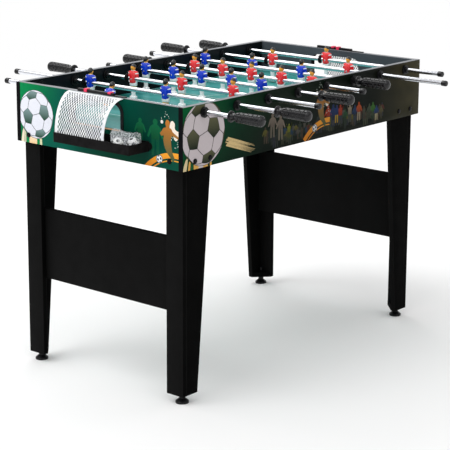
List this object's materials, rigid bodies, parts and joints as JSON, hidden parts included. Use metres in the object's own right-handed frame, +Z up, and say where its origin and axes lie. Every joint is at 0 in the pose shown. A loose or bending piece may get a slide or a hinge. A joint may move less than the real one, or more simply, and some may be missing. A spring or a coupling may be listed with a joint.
{
  "type": "foosball table",
  "caption": "Rod football table with sliding, spinning player rods, goals with nets and ball trays, score rails, splayed board legs and levelling feet.",
  "frame": {"origin": "on the floor under the centre of the table", "axes": "+X along the table's length, +Y across it towards the far long side, +Z up; blue players face +X"},
  "size_m": [1.224, 1.094, 0.8205],
  "materials": {
    "printed_board": "satin",
    "field_board": "satin",
    "raw_board": "matte",
    "black_board": "satin",
    "chrome_tube": "gloss",
    "black_plastic": "satin",
    "white_sheet": "satin",
    "black_rubber": "matte",
    "blue_team": "gloss",
    "red_team": "gloss",
    "red_plastic": "gloss",
    "black_steel": "satin",
    "ball_white": "satin"
  },
  "bodies": {
    "table": {"long_side_near": "printed_board", "long_side_far": "printed_board", "end_panel_left": "printed_board", "end_panel_right": "printed_board", "playfield": "field_board", "field_battens": "raw_board", "goal_arches": "black_plastic", "goal_net_left": "white_sheet", "goal_net_right": "white_sheet", "ball_trays": "black_plastic", "score_rails": "black_plastic", "rod_bushings": "black_plastic", "near_bumpers": "black_rubber", "leg_near_left": "black_board", "leg_far_left": "black_board", "leg_near_right": "black_board", "leg_far_right": "black_board", "stretcher_panels": "black_board", "leg_bolts": "black_steel"},
    "levelling_foot_near_left": {"levelling_foot_near_left": "black_rubber"},
    "levelling_foot_far_left": {"levelling_foot_far_left": "black_rubber"},
    "levelling_foot_near_right": {"levelling_foot_near_right": "black_rubber"},
    "levelling_foot_far_right": {"levelling_foot_far_right": "black_rubber"},
    "score_slider_left_1": {"score_slider_left_1": "red_plastic"},
    "score_slider_left_2": {"score_slider_left_2": "red_plastic"},
    "score_slider_right_1": {"score_slider_right_1": "red_plastic"},
    "score_slider_right_2": {"score_slider_right_2": "red_plastic"},
    "practice_balls": {"practice_balls": "ball_white"},
    "rod_1_slider": {"rod_1_bumper": "black_rubber"},
    "rod_1": {"rod_1": "chrome_tube", "rod_1_players": "blue_team", "rod_1_grip_and_cap": "black_plastic"},
    "rod_2_slider": {"rod_2_bumper": "black_rubber"},
    "rod_2": {"rod_2": "chrome_tube", "rod_2_players": "blue_team", "rod_2_grip_and_cap": "black_plastic"},
    "rod_3_slider": {"rod_3_bumper": "black_rubber"},
    "rod_3": {"rod_3": "chrome_tube", "rod_3_players": "red_team", "rod_3_grip_and_cap": "black_plastic"},
    "rod_4_slider": {"rod_4_bumper": "black_rubber"},
    "rod_4": {"rod_4": "chrome_tube", "rod_4_players": "blue_team", "rod_4_grip_and_cap": "black_plastic"},
    "rod_5_slider": {"rod_5_bumper": "black_rubber"},
    "rod_5": {"rod_5": "chrome_tube", "rod_5_players": "red_team", "rod_5_grip_and_cap": "black_plastic"},
    "rod_6_slider": {"rod_6_bumper": "black_rubber"},
    "rod_6": {"rod_6": "chrome_tube", "rod_6_players": "blue_team", "rod_6_grip_and_cap": "black_plastic"},
    "rod_7_slider": {"rod_7_bumper": "black_rubber"},
    "rod_7": {"rod_7": "chrome_tube", "rod_7_players": "red_team", "rod_7_grip_and_cap": "black_plastic"},
    "rod_8_slider": {"rod_8_bumper": "black_rubber"},
    "rod_8": {"rod_8": "chrome_tube", "rod_8_players": "red_team", "rod_8_grip_and_cap": "black_plastic"}
  },
  "joints": [
    {"name": "levelling_foot_near_left_screw", "type": "slide", "parent": "table", "child": "levelling_foot_near_left", "axis": [0, 0, -1], "range_m": [0, 0.012]},
    {"name": "levelling_foot_far_left_screw", "type": "slide", "parent": "table", "child": "levelling_foot_far_left", "axis": [0, 0, -1], "range_m": [0, 0.012]},
    {"name": "levelling_foot_near_right_screw", "type": "slide", "parent": "table", "child": "levelling_foot_near_right", "axis": [0, 0, -1], "range_m": [0, 0.012]},
    {"name": "levelling_foot_far_right_screw", "type": "slide", "parent": "table", "child": "levelling_foot_far_right", "axis": [0, 0, -1], "range_m": [0, 0.012]},
    {"name": "score_slider_left_1_slide", "type": "slide", "parent": "table", "child": "score_slider_left_1", "axis": [0, 1, 0], "range_m": [-0.038, 0.023]},
    {"name": "score_slider_left_2_slide", "type": "slide", "parent": "table", "child": "score_slider_left_2", "axis": [0, 1, 0], "range_m": [-0.005, 0.037]},
    {"name": "score_slider_right_1_slide", "type": "slide", "parent": "table", "child": "score_slider_right_1", "axis": [0, 1, 0], "range_m": [-0.042, 0.004]},
    {"name": "score_slider_right_2_slide", "type": "slide", "parent": "table", "child": "score_slider_right_2", "axis": [0, 1, 0], "range_m": [-0.004, 0.053]},
    {"name": "practice_balls_lift", "type": "slide", "parent": "table", "child": "practice_balls", "axis": [0, 0, 1], "range_m": [0, 0.06]},
    {"name": "rod_1_push", "type": "slide", "parent": "table", "child": "rod_1_slider", "axis": [0, 1, 0], "range_m": [-0.0995, 0.0755]},
    {"name": "rod_1_spin", "type": "hinge", "parent": "rod_1_slider", "child": "rod_1", "pos_m": [-0.455, 0, 0.778], "axis": [0, 1, 0], "continuous": true},
    {"name": "rod_2_push", "type": "slide", "parent": "table", "child": "rod_2_slider", "axis": [0, 1, 0], "range_m": [-0.2005, 0.0305]},
    {"name": "rod_2_spin", "type": "hinge", "parent": "rod_2_slider", "child": "rod_2", "pos_m": [-0.325, 0, 0.778], "axis": [0, 1, 0], "continuous": true},
    {"name": "rod_3_push", "type": "slide", "parent": "table", "child": "rod_3_slider", "axis": [0, 1, 0], "range_m": [-0.0725, 0.0725]},
    {"name": "rod_3_spin", "type": "hinge", "parent": "rod_3_slider", "child": "rod_3", "pos_m": [-0.195, 0, 0.778], "axis": [0, 1, 0], "continuous": true},
    {"name": "rod_4_push", "type": "slide", "parent": "table", "child": "rod_4_slider", "axis": [0, 1, 0], "range_m": [-0.0785, 0.0005]},
    {"name": "rod_4_spin", "type": "hinge", "parent": "rod_4_slider", "child": "rod_4", "pos_m": [-0.065, 0, 0.778], "axis": [0, 1, 0], "continuous": true},
    {"name": "rod_5_push", "type": "slide", "parent": "table", "child": "rod_5_slider", "axis": [0, 1, 0], "range_m": [-0.0015, 0.0775]},
    {"name": "rod_5_spin", "type": "hinge", "parent": "rod_5_slider", "child": "rod_5", "pos_m": [0.065, 0, 0.778], "axis": [0, 1, 0], "continuous": true},
    {"name": "rod_6_push", "type": "slide", "parent": "table", "child": "rod_6_slider", "axis": [0, 1, 0], "range_m": [-0.1385, 0.0025]},
    {"name": "rod_6_spin", "type": "hinge", "parent": "rod_6_slider", "child": "rod_6", "pos_m": [0.195, 0, 0.778], "axis": [0, 1, 0], "continuous": true},
    {"name": "rod_7_push", "type": "slide", "parent": "table", "child": "rod_7_slider", "axis": [0, 1, 0], "range_m": [-0.0645, 0.1665]},
    {"name": "rod_7_spin", "type": "hinge", "parent": "rod_7_slider", "child": "rod_7", "pos_m": [0.325, 0, 0.778], "axis": [0, 1, 0], "continuous": true},
    {"name": "rod_8_push", "type": "slide", "parent": "table", "child": "rod_8_slider", "axis": [0, 1, 0], "range_m": [-0.0705, 0.1045]},
    {"name": "rod_8_spin", "type": "hinge", "parent": "rod_8_slider", "child": "rod_8", "pos_m": [0.455, 0, 0.778], "axis": [0, 1, 0], "continuous": true}
  ]
}
